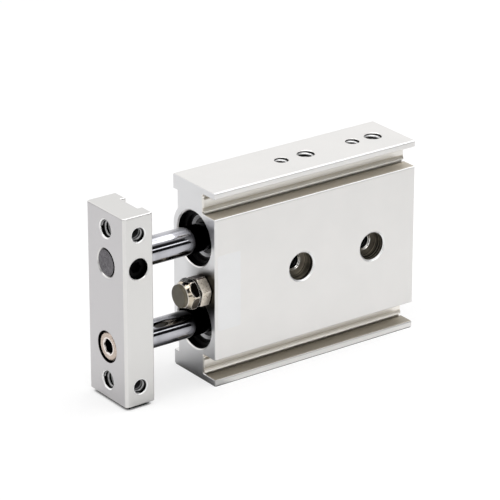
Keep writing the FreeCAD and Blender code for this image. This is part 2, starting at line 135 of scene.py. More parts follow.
# the two places of a bolt pattern in mm
def patternPlaces(name):
    mount = mounts[name]
    middle = Vector(mount["pos_m"]) / mm
    across = mount["dims"].get("spacing_x_mm")
    step = Vector((across, 0, 0)) if across else Vector((0, 0, mount["dims"]["spacing_y_mm"]))
    return [middle - step / 2, middle + step / 2]


# places and sizes read from the frame
sides = ("upper", "lower")
rodHeights = [sum(corner.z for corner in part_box("piston_rod_" + side)) / 2 / mm for side in sides]
housingLow, housingHigh = [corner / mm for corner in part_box("housing")]
housingLength, housingWidth = housingHigh.x - housingLow.x, housingHigh.y - housingLow.y
plateLow, plateHigh = [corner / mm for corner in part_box("plate")]
plateMiddleX, plateHalf = (plateLow.x + plateHigh.x) / 2, (plateHigh.x - plateLow.x) / 2
plateSide = mounts["plate_side_threads"]["pos_m"][1] / mm
stopLow, stopHigh = [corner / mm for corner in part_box("stop_bolt")]
stopAxis = ((stopLow.y + stopHigh.y) / 2, (stopLow.z + stopHigh.z) / 2)   # Y and Z
m4Radius = mounts["top_threads"]["dims"]["hole_r_mm"]
m5Radius = mounts["plate_front_threads"]["dims"]["hole_r_mm"]
portPlaces = [Vector((mounts[port]["pos_m"][0] / mm, 0, housingHigh.z))
              for port in ("port_extend_side", "port_return_side")]

alongX, alongY, alongZ = (1, 0, 0), (0, 1, 0), (0, 0, 1)
# stretches that turn a cloud into rings, which follow each other along an axis
feedX, feedY, feedZ = (1, 0.02, 0.02), (0.02, 1, 0.02), (0.02, 0.02, 1)
shadeSamples, edgeSamples = 16, 8   # rays of the nodes that look for shade and for edges
lip = 0.36   # the chamfers at bore mouths stay bright
hair = 0.03   # keeps a zone clear of the face beside it
wallReach = 0.04   # a thread wall's zone goes this far past the nominal radius

# Clear anodised aluminium, extruded, milled and fine blasted: an even pale satin grey with soft highlights.
# The extruded grooves keep a warmer tone; cut holes are painted dark as shade, some chamfers pale as
# highlights.
anodisedLook = {
    "colour": "#eae8e6", "cloudColour": "#e3e2e0", "cloudSize": 9.0, "metal": 1.0, "rough": (0.26, 0.36),
    "gritSize": 0.3, "gritDetail": 3.0, "gritHeight": 0.004,   # coarser than the real 0.05 mm, to show
    "dieLinePitch": 0.45, "dieLineHeight": 0.006, "dieLineStretch": (0.01, 1, 1),
    "turningPitch": 0.5, "turningSpan": (0.36, 0.64), "turningHeight": 0.03, "lineDetail": 1.0,
    # these two lines paint shade on the front face: near the pieces before it, and round a spot beside the
    # stop bolt
    "cornerReach": 7.0, "cornerSpan": (0.45, 0.95), "cornerFade": (14, 8), "cornerColour": "#37332d",
    "stainSpan": (4.4, 7.2), "stainShift": (2.6, 0.25),
}


# tone of a face with painted shade where pieces meet it, which fades out down the heights of cornerFade, and
# with painted shade round a spot of the face beside the stop bolt
def paintedShadeTone(tree, point, height, face):
    look = anodisedLook
    corner = addNode(tree, "AmbientOcclusion", {"Distance": look["cornerReach"] * mm}, samples=shadeSamples)
    unshaded = addNode(tree, "MapRange", {"Value": corner.outputs["AO"], **fromSpan(look["cornerSpan"])})
    low = addNode(tree, "MapRange", {"Value": height, **fromSpan(look["cornerFade"])})
    unshaded = addNode(tree, "Math", {0: unshaded, 1: low}, operation="MAXIMUM")
    away = addNode(tree, "VectorMath", {0: point, 1: face["stain"]}, operation="DISTANCE")
    outsideShadeSpot = addNode(tree, "MapRange", {"Value": away, **fromSpan(look["stainSpan"])},
                  interpolation_type="SMOOTHSTEP")
    unshaded = addNode(tree, "Math", {0: unshaded, 1: outsideShadeSpot}, operation="MULTIPLY")
    return addNode(tree, "Mix", {0: unshaded, 6: look["cornerColour"], 7: face["colour"]}, data_type="RGBA")


# faces are planes, each with the axis it faces, the place beyond which it lies and its colour; grooves
# are boxes with a middle and half sizes along Y and Z; holeGroups are holes whose walls share one painted
# shade or highlight
def anodisedAluminium(name, faces, grooves, holeGroups):
    look = anodisedLook
    material, tree = emptyMaterial(name)
    point = pointInMm(tree)
    parts = addNode(tree, "SeparateXYZ", {0: point})
    clouds = cloud(tree, point, look["cloudSize"])
    colour = addNode(tree, "Mix", {0: clouds, 6: look["cloudColour"], 7: look["colour"]}, data_type="RGBA")
    metal = look["metal"]
    grit = cloud(tree, point, look["gritSize"], look["gritDetail"])
    rough = addNode(tree, "MapRange", {"Value": grit, **toSpan(look["rough"])})
    normal = addNode(tree, "Bump", {"Height": grit, "Distance": look["gritHeight"] * mm})
    for face in faces:
        facing = parts.outputs[face["axis"]]
        beyond = addNode(tree, "Math", {0: facing, 1: face["beyond"]}, operation="GREATER_THAN")
        tone = paintedShadeTone(tree, point, parts.outputs[2], face) if "stain" in face else face["colour"]
        colour = addNode(tree, "Mix", {0: beyond, 6: colour, 7: tone}, data_type="RGBA")
    for box in grooves:
        inY = addNode(tree, "Math", {0: parts.outputs[1], 1: box["y"], 2: box["halfY"]}, operation="COMPARE")
        inZ = addNode(tree, "Math", {0: parts.outputs[2], 1: box["z"], 2: box["halfZ"]}, operation="COMPARE")
        mask = addNode(tree, "Math", {0: inY, 1: inZ}, operation="MULTIPLY")
        colour = addNode(tree, "Mix", {0: mask, 6: colour, 7: box["colour"]}, data_type="RGBA")
        rough = addNode(tree, "Mix", {0: mask, 2: rough, 3: box["rough"]})
        metal = addNode(tree, "Mix", {0: mask, 2: metal, 3: box["metal"]})
    if grooves:
        lines = cloud(tree, point, look["dieLinePitch"], look["lineDetail"], look["dieLineStretch"])
        depth = look["dieLineHeight"] * mm
        normal = addNode(tree, "Bump", {"Height": lines, "Distance": depth, "Normal": normal})
    for group in holeGroups:
        mask = insideHoles(tree, point, group["holes"])
        streak = cloud(tree, point, look["turningPitch"], look["lineDetail"], group["feed"])
        streak = addNode(tree, "MapRange", {"Value": streak, **fromSpan(look["turningSpan"])})
        wall = addNode(tree, "Mix", {0: streak, 6: group["dark"], 7: group["light"]}, data_type="RGBA")
        colour = addNode(tree, "Mix", {0: mask, 6: colour, 7: wall}, data_type="RGBA")
        rough = addNode(tree, "Mix", {0: mask, 2: rough, 3: group["rough"]})
        marks = addNode(tree, "Math", {0: streak, 1: mask}, operation="MULTIPLY")
        depth = look["turningHeight"] * mm
        normal = addNode(tree, "Bump", {"Height": marks, "Distance": depth, "Normal": normal})
    closeMaterial(tree, {"Base Color": colour, "Metallic": metal, "Roughness": rough, "Normal": normal})
    return material


# Sensor groove: boxes for its parts, where y and rise are their middles and rise is above the ledge
grooveFinish = {"rough": 0.3, "metal": 1.0}
grooveParts = {
    "band": {"y": 7.2, "halfY": 2.75, "rise": 2.9, "halfZ": 2.9},
    "ledge": {"y": 7.5, "halfY": 2.3, "rise": 0.0, "halfZ": 0.1, "rough": 0.42, "metal": 0.5},   # duller
    "wall": {"y": 4.55, "halfY": 0.6, "rise": 2.9, "halfZ": 2.9},
    "foot": {"y": 4.9, "halfY": 0.6, "rise": 1.4, "halfZ": 0.5},
    "toe": {"y": 4.9, "halfY": 0.32, "rise": 0.74, "halfZ": 0.14},   # corner above the slot
    "slot": {"y": 4.55, "halfY": 0.55, "rise": 0.5, "halfZ": 0.1},
}
# the band is the extrusion's warmer tone; the dark slot is painted shade and the pale toe a painted highlight
grooveTones = {"band": "#dbd8d2", "toe": "#fffdf4", "slot": "#6b6252"}
# each groove has its own tones of ledge, wall and foot, painted for how it is lit; the darker ledges are
# painted shade
lowGroove = {"ledgeAt": 2.0, "ledge": "#9e978a", "wall": "#fffbf4", "foot": "#e8e1d5"}
topGroove = {"ledgeAt": 50.2, "ledge": "#beb6a8", "wall": "#ebe8e2", "foot": "#cbc4b7"}
# the flange face below the low groove is painted paler, as light
flange = {"halfY": hair, "z": 1.0, "halfZ": 0.98, "colour": "#eeedeb"}   # face below the low groove
# the long edges beside the top groove are painted white and matt, as a painted highlight
paleEdgeHighlight = {"halfY": 0.3, "halfZ": 0.3, "rough": 0.5, "metal": 0.3, "colour": "#ffffff"}   # matt and pale
housingGrooves = []
for groove in (lowGroove, topGroove):
    tones = {**grooveTones, **groove}
    for part, box in grooveParts.items():
        height = groove["ledgeAt"] + box["rise"]
        housingGrooves.append({**grooveFinish, **box, "z": height, "colour": tones[part]})
housingGrooves.append({**grooveFinish, **flange, "y": housingHigh.y})
for height in (housingHigh.z, topGroove["ledgeAt"]):   # the long edges beside the top groove
    housingGrooves.append({**paleEdgeHighlight, "y": housingHigh.y, "z": height})

# Housing: its front face with painted shade round the stop bolt and where pieces meet it, its grooves, and its
# holes
housingLook = {"front": "#e2e2e3", "boreRadius": 8.45, "threadDepth": 12.0}
counterbore = {"radius": 4.12, "lip": 0.48, "depth": 4.4, "step": 0.5, "through": 2.15}
stain = (housingHigh.x, *np.add(stopAxis, anodisedLook["stainShift"]).tolist())
housingFaces = [{"axis": 0, "beyond": housingHigh.x - hair, "colour": housingLook["front"], "stain": stain}]
boreMiddles = [(0, 0, z) for z in rodHeights]
mountPlaces = patternPlaces("top_threads") + patternPlaces("bottom_threads")
throughPlaces = patternPlaces("through_holes")
lipRadius = counterbore["radius"] + counterbore["lip"]
throughRadius = counterbore["through"] + hair
stepHalf = housingWidth / 2 - counterbore["depth"] - hair
housingHoles = [
    # bores, painted black as shade
    {"dark": "#050505", "light": "#0d0d0d", "rough": 0.35, "feed": feedX,
     "holes": holesAt(boreMiddles, alongX, housingLook["boreRadius"], housingLength / 2 - lip)},
    # tapped holes and ports, painted near black as shade
    {"dark": "#0a0a09", "light": "#1a1917", "rough": 0.4, "feed": feedZ,
     "holes": holesAt(mountPlaces, alongZ, m4Radius + wallReach, housingLook["threadDepth"])
     + holesAt(portPlaces, alongZ, m5Radius + wallReach, housingLook["threadDepth"])},
    # counterbores: painted highlight on the lip, painted shade in the wall's streaks and the black through
    # hole, pale step
    {"dark": "#fbfbfa", "light": "#ffffff", "rough": 0.5, "feed": feedY,
     "holes": holesAt(throughPlaces, alongY, lipRadius, housingWidth / 2 - hair)},
    {"dark": "#0e0d0c", "light": "#bcb6ab", "rough": 0.3, "feed": feedY,
     "holes": holesAt(throughPlaces, alongY, counterbore["radius"], housingWidth / 2 - counterbore["lip"])},
    {"dark": "#e9e7e2", "light": "#fbfaf7", "rough": 0.22, "feed": feedY,
     "holes": holesAt(throughPlaces, alongY, throughRadius + counterbore["step"], stepHalf)},
    {"dark": "#040404", "light": "#0c0b0a", "rough": 0.4, "feed": feedY,
     "holes": holesAt(throughPlaces, alongY, throughRadius, stepHalf - counterbore["step"])},
]
housingMaterial = anodisedAluminium("clearAnodisedExtrusion", housingFaces, housingGrooves, housingHoles)

# Plate: three faces seen, each with its tone painted for how light falls on it, and its holes
plateLook = {"top": "#d8d7d5", "near": "#dfdedc", "front": "#cfcdce", "lipWidth": 0.41, "lipHalf": 0.45,
             "screwPocket": 4.68, "rodHole": 4.05, "clampHole": 3.03, "clampDepth": 6.0,
             "frontDepth": 12.0, "sideDepth": 6.5}
plateFaces = [{"axis": 2, "beyond": plateHigh.z - hair, "colour": plateLook["top"]},
              {"axis": 1, "beyond": plateHigh.y - hair, "colour": plateLook["near"]},
              {"axis": 0, "beyond": plateHigh.x - hair, "colour": plateLook["front"]}]
frontPlaces, sidePlaces = patternPlaces("plate_front_threads"), patternPlaces("plate_side_threads")
rodPlace, screwPlace = [(plateMiddleX, 0, z) for z in rodHeights]
clampPlace = (plateMiddleX, plateSide, rodHeights[0])
plateHoles = [
    # chamfers at the mouths of the tapped holes, white as a painted highlight
    {"dark": "#fbfbfa", "light": "#ffffff", "rough": 0.5, "feed": (1, 1, 0.02),
     "holes": holesAt(frontPlaces, alongX, m5Radius + plateLook["lipWidth"], plateLook["lipHalf"])
     + holesAt(sidePlaces, alongY, m4Radius + plateLook["lipWidth"], plateLook["lipHalf"])},
    # screw pocket, rod hole and clamp hole, painted near black as shade
    {"dark": "#060606", "light": "#12110f", "rough": 0.4, "feed": feedX,
     "holes": holesAt([screwPlace], alongX, plateLook["screwPocket"], plateHalf - hair)
     + holesAt([rodPlace], alongX, plateLook["rodHole"], plateHalf - lip)
     + holesAt([clampPlace], alongY, plateLook["clampHole"], plateLook["clampDepth"])},
    # tapped holes, painted near black as shade
    {"dark": "#0a0a09", "light": "#1a1917", "rough": 0.4, "feed": feedZ,
     "holes": holesAt(frontPlaces, alongX, m5Radius + wallReach, plateLook["frontDepth"])
     + holesAt(sidePlaces, alongY, m4Radius + wallReach, plateLook["sideDepth"])},
]
plateMaterial = anodisedAluminium("clearAnodisedPlate", plateFaces, [], plateHoles)

# Hard chrome on ground steel: a cool mirror that carries the studio along its length, with faint grinding
# rings. The sawn and turned front end of the upper rod is bare grey steel.
chromeLook = {
    "colour": "#c2c2c8", "metal": 1.0, "roughness": 0.07, "ringPitch": 0.4, "ringHeight": 0.0006,
    "endDark": "#343236", "endLight": "#8f8c90", "endMottle": 0.8, "mottleDetail": 4.0, "endRoughness": 0.42,
    # the last colour on the next line paints the end chamfer near black as shade
    "endTurning": 0.6, "endTurningHeight": 0.03, "endSkin": 0.02, "endChamfer": 0.32, "endEdge": "#0b0b0c",
    # painted shade, darker towards the bore, up to the places given along X, and on the underside
    "oil": "#0b0b0d", "oilReach": 12.0, "oilSpan": (0.66, 0.92), "oilTo": (46, 51), "dripSpan": (-0.66, -0.3),
}


def hardChrome(name, endX, axisHeight):
    look = chromeLook
    material, tree = emptyMaterial(name)
    point = pointInMm(tree)
    alongRod = addNode(tree, "SeparateXYZ", {0: point}).outputs[0]
    shut = addNode(tree, "AmbientOcclusion", {"Distance": look["oilReach"] * mm}, samples=shadeSamples)
    unoccluded = addNode(tree, "MapRange", {"Value": shut.outputs["AO"], **fromSpan(look["oilSpan"])})
    beyondRodShade = addNode(tree, "MapRange", {"Value": alongRod, **fromSpan(look["oilTo"])})
    unshaded = addNode(tree, "Math", {0: unoccluded, 1: beyondRodShade}, operation="MAXIMUM")
    facing = addNode(tree, "SeparateXYZ", {0: addNode(tree, "NewGeometry").outputs["Normal"]})
    above = addNode(tree, "MapRange", {"Value": facing.outputs[2], **fromSpan(look["dripSpan"])})
    unshaded = addNode(tree, "Math", {0: unshaded, 1: above}, operation="MULTIPLY")
    colour = addNode(tree, "Mix", {0: unshaded, 6: look["oil"], 7: look["colour"]}, data_type="RGBA")
    isEdge = addNode(tree, "Math", {0: alongRod, 1: endX - look["endChamfer"]}, operation="GREATER_THAN")
    colour = addNode(tree, "Mix", {0: isEdge, 6: colour, 7: look["endEdge"]}, data_type="RGBA")
    isEnd = addNode(tree, "Math", {0: alongRod, 1: endX - look["endSkin"]}, operation="GREATER_THAN")
    mottle = cloud(tree, point, look["endMottle"], look["mottleDetail"])
    steel = addNode(tree, "Mix", {0: mottle, 6: look["endDark"], 7: look["endLight"]}, data_type="RGBA")
    colour = addNode(tree, "Mix", {0: isEnd, 6: colour, 7: steel}, data_type="RGBA")
    rough = addNode(tree, "MapRange", {"Value": isEnd, **toSpan((look["roughness"], look["endRoughness"]))})
    # turning marks on the end: a sine of the distance from the axis
    offset = addNode(tree, "VectorMath", {0: point, 1: (endX, 0, axisHeight)}, operation="SUBTRACT")
    reach = addNode(tree, "VectorMath", {0: offset}, operation="LENGTH")
    turns = addNode(tree, "Math", {0: reach, 1: 2 * math.pi / look["endTurning"]}, operation="MULTIPLY")
    wave = addNode(tree, "Math", {0: turns}, operation="SINE")
    marks = addNode(tree, "Math", {0: wave, 1: isEnd}, operation="MULTIPLY")
    rings = cloud(tree, point, look["ringPitch"], stretch=feedX)
    normal = addNode(tree, "Bump", {"Height": rings, "Distance": look["ringHeight"] * mm})
    depth = look["endTurningHeight"] * mm
    normal = addNode(tree, "Bump", {"Height": marks, "Distance": depth, "Normal": normal})
    metal = look["metal"]
    closeMaterial(tree, {"Base Color": colour, "Metallic": metal, "Roughness": rough, "Normal": normal})
    return material


# Zones of the small pieces: round the stop bolt's axis, in the cap screw and on the seal retainers
nutBack, nutFront = [corner.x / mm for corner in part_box("lock_nut")]
headMiddle = (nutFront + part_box("stop_bumper")[0].x / mm) / 2
stopLook = {
    # painted dark reflection on the middles of the bolt head's flats
    "flatTurns": range(34, 394, 60), "flatOut": 4.75, "flatRadius": 2.15, "flatHalf": 1.45,
    # painted dark reflection on the upper flats of bolt head and nut
    "topTurn": 100, "topHalf": 2.0, "headOut": 4.9, "headRadius": 2.9, "nutOut": 5.3, "nutRadius": 2.7,
    # oil where nut, bolt head and housing meet
    "jointRadius": 60.0, "jointHalf": 0.28,
}
screwLook = {"depth": 2.5, "rimRadius": 2.6, "rimHalf": 2.6, "socketRadius": 2.4, "socketHalf": 2.0}
retainerLook = {"rimRadius": 6.04, "reach": 6.0, "shadeRadius": 5.5, "shadeShift": (5.6, 2.5)}


# a point beside the stop bolt's axis: turn is in degrees from the near side upwards, out is mm from the axis
def besideStop(x, turn, out):
    angle = math.radians(turn)
    return (x, stopAxis[0] + out * math.cos(angle), stopAxis[1] + out * math.sin(angle))


flatMiddles = [besideStop(headMiddle, turn, stopLook["flatOut"]) for turn in stopLook["flatTurns"]]
headTop = besideStop(headMiddle, stopLook["topTurn"], stopLook["headOut"])
nutTop = besideStop((nutBack + nutFront) / 2, stopLook["topTurn"], stopLook["nutOut"])
boltFlatReflections = holesAt(flatMiddles, alongX, stopLook["flatRadius"], stopLook["flatHalf"])
boltTopReflection = holesAt([headTop], alongX, stopLook["headRadius"], stopLook["topHalf"])
nutTopReflection = holesAt([nutTop], alongX, stopLook["nutRadius"], stopLook["topHalf"])
boltJoint, housingJoint = [holesAt([(x, 0, 0)], alongX, stopLook["jointRadius"], stopLook["jointHalf"])
                           for x in (nutFront, nutBack)]
socketPlace = (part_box("plate_cap_screw")[1].x / mm - screwLook["depth"], 0, rodHeights[1])
socketRimHighlight = holesAt([socketPlace], alongX, screwLook["rimRadius"], screwLook["rimHalf"])
socketWellShade = holesAt([socketPlace], alongX, screwLook["socketRadius"], screwLook["socketHalf"])
rimPlaces = [(housingHigh.x, 0, z) for z in rodHeights]
shadeY, shadeZ = retainerLook["shadeShift"]
shadePlaces = [(housingHigh.x, shadeY, z + shadeZ) for z in rodHeights]
retainerRim = holesAt(rimPlaces, alongX, retainerLook["rimRadius"], retainerLook["reach"])
retainerShade = holesAt(shadePlaces, alongX, retainerLook["shadeRadius"], retainerLook["reach"])

# Plain finishes of the smaller pieces: two tones in cloudy patches, uneven gloss and a fine relief.
# metal is 1 for bare or plated metals; patch and grain are mm, height is the relief in mm. An edge is the mm
# over which edges shade as if rounded, the edge highlight is a paler tone painted on such edges, and zones
# are round places with a colour of their own, some of them painted shade, reflection or highlight.
finishes = {
    # turned bearing alloy: mid grey, fine lathe rings that scatter the light
    "turnedBearingAlloy": {
        "dark": "#77777a", "light": "#98989b", "metal": 1.0, "rough": (0.28, 0.42),
        "patch": 1.2, "grain": 0.35, "stretch": (0.02, 1, 1), "height": 0.006,
        "nodes": ["rod_cover", "head_cover"]},
    # seal retainer: black, but its turned rim is bare and shows as a pale crescent deep in the bore;
    # painted black shade covers that rim on its near, upper side
    "oiledSealRetainer": {
        "dark": "#0b0b0c", "light": "#161617", "metal": 0.4, "rough": (0.3, 0.42),
        "patch": 1.2, "grain": 0.35, "stretch": (0.02, 1, 1), "height": 0.006,
        "zones": [{"colour": "#ececee", "holes": retainerRim}, {"colour": "#0b0b0c", "holes": retainerShade}],
        "nodes": ["seal_retainer"]},
    # turned piston alloy: brighter bare aluminium
    "turnedPistonAlloy": {
        "dark": "#a9a9ab", "light": "#c4c4c6", "metal": 1.0, "rough": (0.22, 0.36),
        "patch": 1.5, "grain": 0.3, "stretch": feedX, "height": 0.004,
        "nodes": ["piston"]},
    # moulded nitrile rubber: black, with a dull skin sheen
    "mouldedNitrile": {
        "dark": "#08080a", "light": "#121214", "metal": 0.0, "rough": (0.34, 0.5),
        "patch": 1.0, "grain": 0.15, "height": 0.004,
        "nodes": ["rod_seal", "rod_cover_o_ring", "head_cover_o_ring", "piston_seal"]},
    # moulded urethane: olive brown, slightly waxy
    "mouldedUrethane": {
        "dark": "#4c4738", "light": "#6f6856", "metal": 0.0, "rough": (0.32, 0.46),
        "patch": 2.2, "grain": 0.4, "height": 0.006,
        "nodes": ["stop_bumper", "front_bumper", "rear_bumper"]},
    # bonded ferrite magnet: dark grey, matt
    "bondedFerrite": {
        "dark": "#1c1c1e", "light": "#2a2a2c", "metal": 0.0, "rough": (0.55, 0.7),
        "patch": 0.8, "grain": 0.2, "height": 0.004,
        "nodes": ["piston_magnet"]},
    # phosphated spring steel: near black, with a fine crystalline tooth
    "phosphatedSpringSteel": {
        "dark": "#0a0a0a", "light": "#1b1a19", "metal": 0.6, "rough": (0.4, 0.55),
        "patch": 0.6, "grain": 0.12, "height": 0.004,
        "nodes": ["front_retaining_ring", "rear_retaining_ring", "piston_clip"]},
    # black oxide on steel: black, with an oily low gloss
    "blackOxideSteel": {
        "dark": "#030303", "light": "#0a0a0b", "metal": 0.9, "rough": (0.4, 0.5),
        "patch": 0.8, "grain": 0.2, "height": 0.004,
        "nodes": ["plate_set_screw"]},
    # plated cap screw: pinkish tan, satin; a painted highlight on the rim of the socket, and painted black
    # shade deeper in it
    "platedCapScrew": {
        "dark": "#bfaea1", "light": "#d9cabe", "metal": 0.8, "rough": (0.2, 0.32),
        "patch": 0.9, "grain": 0.25, "height": 0.006, "edge": 0.2,
        "zones": [{"colour": "#fbf3ee", "holes": socketRimHighlight}, {"colour": "#050404", "holes": socketWellShade}],
        "nodes": ["plate_cap_screw"]},
    # nickel plate on a cold-formed bolt: warm and glossy, with edges shaded as if rounded and a paler tone
    # painted on them as a highlight
    "nickelOnFormedSteel": {
        "dark": "#b5a893", "light": "#e2d7c6", "metal": 1.0, "rough": (0.08, 0.18),
        "patch": 0.9, "grain": 0.7, "height": 0.005, "edge": 0.45, "rubbed": "#fffaf2",
        "zones": [{"colour": "#544b41", "holes": boltFlatReflections}, {"colour": "#0d0a08", "holes": boltTopReflection},
                  {"colour": "#171310", "holes": boltJoint}],
        "nodes": ["stop_bolt"]},
    # nickel plate on a tumbled nut: the same warm tone, satin and mottled, with the same painted edge
    # highlight
    "nickelOnTumbledSteel": {
        "dark": "#b3a58e", "light": "#fff8ee", "metal": 0.75, "rough": (0.2, 0.4),
        "patch": 0.6, "grain": 0.5, "height": 0.012, "edge": 0.3, "rubbed": "#fffaf2",
        "zones": [{"colour": "#4a3b35", "holes": nutTopReflection},
                  {"colour": "#171310", "holes": boltJoint + housingJoint}],
        "nodes": ["lock_nut"]},
}
patchDetail = 3.0
# the paler tone painted on edges as a highlight, where the rounded normal parts from the true one
edgeHighlightLook = {"span": (0.995, 0.96), "roughness": 0.5, "metal": 0.1}   # span is the match of worn and true normal


def plainFinish(name, look):
    material, tree = emptyMaterial(name)
    point = pointInMm(tree)
    patches = cloud(tree, point, look["patch"], patchDetail)
    colour = addNode(tree, "Mix", {0: patches, 6: look["dark"], 7: look["light"]}, data_type="RGBA")
    rough = addNode(tree, "MapRange", {"Value": patches, **toSpan(look["rough"])})
    metal = look["metal"]
    for zone in look.get("zones", []):
        inside = insideHoles(tree, point, zone["holes"])
        colour = addNode(tree, "Mix", {0: inside, 6: colour, 7: zone["colour"]}, data_type="RGBA")
    grain = cloud(tree, point, look["grain"], stretch=look.get("stretch", (1, 1, 1)))
    relief = {"Height": grain, "Distance": look["height"] * mm}
    if "edge" in look:
        relief["Normal"] = addNode(tree, "Bevel", {"Radius": look["edge"] * mm}, samples=edgeSamples)
    if "rubbed" in look:
        trueNormal = addNode(tree, "NewGeometry").outputs["Normal"]
        match = addNode(tree, "VectorMath", {0: relief["Normal"], 1: trueNormal}, operation="DOT_PRODUCT")
        edgeGlow = addNode(tree, "MapRange", {"Value": match, **fromSpan(edgeHighlightLook["span"])})
        colour = addNode(tree, "Mix", {0: edgeGlow, 6: colour, 7: look["rubbed"]}, data_type="RGBA")
        rough = addNode(tree, "Mix", {0: edgeGlow, 2: rough, 3: edgeHighlightLook["roughness"]})
        metal = addNode(tree, "Mix", {0: edgeGlow, 2: metal, 3: edgeHighlightLook["metal"]})
    normal = addNode(tree, "Bump", relief)
    closeMaterial(tree, {"Base Color": colour, "Metallic": metal, "Roughness": rough, "Normal": normal})
    return material


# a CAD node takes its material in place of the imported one
def dress(node, material):
    nodes[node].data.materials.clear()
    nodes[node].data.materials.append(material)


dress("housing", housingMaterial)
dress("plate", plateMaterial)
for side, height in zip(sides, rodHeights):
    rod = "piston_rod_" + side
    dress(rod, hardChrome("hardChrome." + side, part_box(rod)[1].x / mm, height))
for finish, look in finishes.items():
    material = plainFinish(finish, look)
    for stem in look["nodes"]:
        for node in nodes:
            if node in (stem, stem + "_upper", stem + "_lower"):
                dress(node, material)
print("materials:", len(bpy.data.materials))


creaseFrom = 35   # degrees; edges that bend more stay sharp


# Closed mesh from a grid of points: rows are steps along a path, columns go round a section and close on
# themselves. Each end gets one face, and all faces are turned round if the enclosed volume is negative.
# across gives each column's place in the UV map.
def sweptMesh(name, grid, across, material, body):
    rows, columns = grid.shape[:2]
    index = np.arange(rows * columns).reshape(rows, columns)
    beside = np.roll(index, -1, axis=1)
    quads = np.stack([index[:-1], beside[:-1], beside[1:], index[1:]], axis=-1).reshape(-1, 4)
    points = grid.reshape(-1, 3)
    corner = points[quads] - points.mean(axis=0)
    fans = np.cross(corner[:, 1], corner[:, 2]) + np.cross(corner[:, 2], corner[:, 3])
    volume = np.einsum("ij,ij->", corner[:, 0], fans)
    faces = quads.tolist() + [index[0][::-1].tolist(), index[-1].tolist()]
    if volume < 0:
        faces = [face[::-1] for face in faces]
    mesh = bpy.data.meshes.new(name)
    mesh.from_pydata((points * mm).tolist(), [], faces)
    corners = np.zeros(len(mesh.loops), np.int32)
    mesh.loops.foreach_get("vertex_index", corners)
    share = np.stack([corners // columns / rows, np.asarray(across)[corners % columns]], axis=1)
    mesh.uv_layers.new(name="along").data.foreach_set("uv", share.ravel())
    mesh.polygons.foreach_set("use_smooth", np.ones(len(faces), bool))
    mesh.set_sharp_from_angle(angle=math.radians(creaseFrom))
    mesh.materials.append(material)
    piece = bpy.data.objects.new(name, mesh)
    bpy.context.scene.collection.objects.link(piece)
    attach(piece, body)
    return piece


# Tapped aluminium: a painted highlight on the crests, fading to painted shade down the hole,
# and painted black shade in the roots between them.
# The UV map's first value runs from 0 at the mouth to 1 at the bottom, its second from 0 at the ridge's feet
# to 1 at its crest.
threadLook = {
    "pitch": {m4Radius: 1.0, m5Radius: 1.1},   # mm; drawn coarser than the real 0.7 and 0.8 to show
    "section": (-7 / 16, -1 / 8, 1 / 8, 7 / 16), "height": 0.4, "sunk": 0.02,   # section is in pitches
    "lead": 0.1, "fadeTurns": 0.25, "stepsPerTurn": 48,
    # root is painted black as shade, crest white as a painted highlight that fades out down the hole over
    # shadeSpan
    "root": "#050505", "crest": "#ffffff", "shadeSpan": (0.6, 0.1), "metal": 0.5, "roughness": 0.28,
    # where the painted highlight starts between foot and crest, for the narrower and the wider highlights
    "oiledFrom": 0.4, "dryFrom": 0.1,   # where the bare metal starts between foot and crest
}


def tappedAluminium(name, brightFrom):
    look = threadLook
    material, tree = emptyMaterial(name)
    parts = addNode(tree, "SeparateXYZ", {0: addNode(tree, "TexCoord").outputs["UV"]})
    crest = addNode(tree, "MapRange", {"Value": parts.outputs[1], **fromSpan((brightFrom, 1))})
    upper = addNode(tree, "MapRange", {"Value": parts.outputs[0], **fromSpan(look["shadeSpan"])})
    bright = addNode(tree, "Math", {0: crest, 1: upper}, operation="MULTIPLY")
    colour = addNode(tree, "Mix", {0: bright, 6: look["root"], 7: look["crest"]}, data_type="RGBA")
    closeMaterial(tree, {"Base Color": colour, "Metallic": look["metal"], "Roughness": look["roughness"]})
    return material


# two copies of the thread material: narrower painted highlights for the plate, wider ones for the housing
threadNarrowHighlight = tappedAluminium("oiledTappedAluminium", threadLook["oiledFrom"])
threadWideHighlight = tappedAluminium("dryTappedAluminium", threadLook["dryFrom"])


# Ridge of a tapped hole, right-handed. At turn t the section's middle is the lead and t + 0.5 pitches down the
# hole. The section is a V cut short: its feet are sunk a little past the nominal radius, and its crest is
# height inside that radius and a quarter pitch wide. The ridge rises from nothing and runs out over fadeTurns
# at its ends; start is its first angle in degrees.
def tappedRidge(name, mouth, hole):
    look = threadLook
    radius = hole["radius"]
    pitch = look["pitch"][radius]
    turns = (hole["depth"] - look["lead"]) / pitch - 1
    turn = np.linspace(0, turns, int(turns * look["stepsPerTurn"]) + 2)
    rise = np.clip(np.minimum(turn, turns - turn) / look["fadeTurns"], 0, 1)
    axis = np.array(hole["inward"], float)
    first = np.roll(axis, 1)
    second = np.cross(axis, first)
    angle = 2 * np.pi * turn[:, None] + math.radians(hole["start"])
    out = first * np.cos(angle) + second * np.sin(angle)
    crest = radius - look["height"] * rise
    foot = np.full_like(crest, radius + look["sunk"])
    away = np.stack([foot, crest, crest, foot], axis=1)
    shift = np.array(look["section"]) * pitch
    down = look["lead"] + (turn[:, None] + 0.5) * pitch + shift
    grid = np.array(mouth) + away[..., None] * out[:, None, :] + down[..., None] * axis
    return sweptMesh(name, grid, (0, 1, 1, 0), hole["material"], hole["body"])


